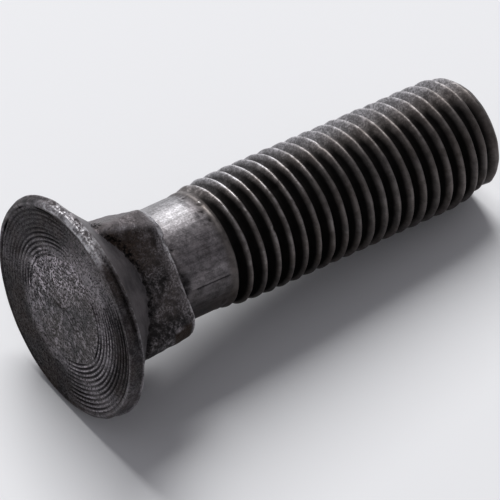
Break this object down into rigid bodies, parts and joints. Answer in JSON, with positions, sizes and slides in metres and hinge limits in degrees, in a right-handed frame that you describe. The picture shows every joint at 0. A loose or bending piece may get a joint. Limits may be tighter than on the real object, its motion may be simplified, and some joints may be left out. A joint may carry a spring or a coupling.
{
  "type": "plow bolt",
  "caption": "Plow bolt with a round countersunk head, a drafted square neck that keeps it from turning, a short plain shank and a coarse metric thread with a tapered end.",
  "frame": {"origin": "centre of the head's flat face", "axes": "+Z along the bolt's axis towards the end of the thread; X and Y square to the flats of the neck"},
  "size_m": [0.028, 0.028, 0.06],
  "materials": {
    "steel": "dark oiled mill scale, as forged and rolled, uncoated"
  },
  "bodies": {
    "root": {"plow_bolt": "steel"}
  },
  "joints": []
}
